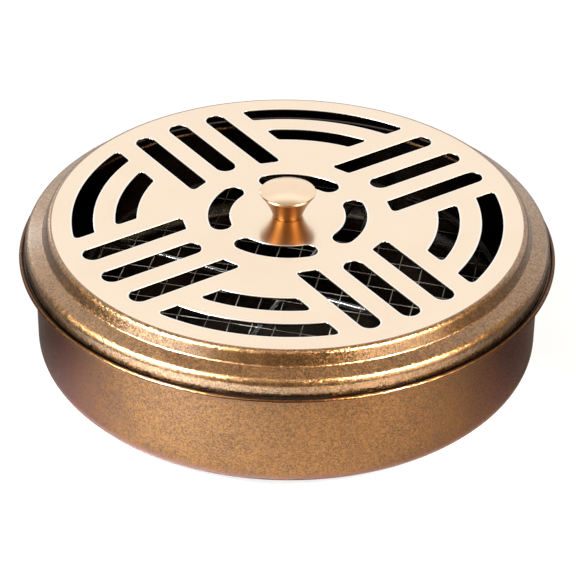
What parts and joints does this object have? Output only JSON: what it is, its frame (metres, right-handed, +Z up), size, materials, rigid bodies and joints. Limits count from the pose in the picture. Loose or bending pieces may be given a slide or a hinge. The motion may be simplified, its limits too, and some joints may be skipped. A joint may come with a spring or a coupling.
{
  "type": "mosquito coil holder",
  "caption": "Round lidded metal holder for burning a mosquito coil: ash tray, wire rack with a net, and a pierced lid with a turned knob.",
  "frame": {"origin": "Middle of the tray's underside, on the surface that the holder stands on.", "axes": "+Z is up through the knob; +X and +Y point at the middles of two rows of arc-shaped openings in the lid."},
  "size_m": [0.1494, 0.1494, 0.0506],
  "materials": {
    "bronze_flake_paint": "bronze-gold metallic flake paint, half gloss",
    "champagne_plate": "champagne-gold metallic coat, glossy on the plate, flaked on the beads",
    "knob_gold": "champagne-gold plating, glossy",
    "plain_steel": "bright drawn or zinc-plated steel",
    "glass_yarn": "off-white glass-fibre yarn, open weave"
  },
  "bodies": {
    "tray": {"tray": "bronze_flake_paint"},
    "lid": {"lid": "champagne_plate", "knob": "knob_gold", "knob_washer": "plain_steel", "knob_screw": "plain_steel"},
    "rack": {"cross_wire_a": "plain_steel", "cross_wire_b": "plain_steel", "net_ring": "plain_steel", "net": "glass_yarn"}
  },
  "joints": [
    {"name": "lid_lift", "type": "slide", "parent": "tray", "child": "lid", "axis": [0, 0, 1], "range_m": [0, 0.08]},
    {"name": "rack_lift", "type": "slide", "parent": "tray", "child": "rack", "axis": [0, 0, 1], "range_m": [0, 0.04]}
  ],
  "couplings": [
    {"joint": "rack_lift", "follows": "lid_lift", "ratio": 0.5}
  ]
}
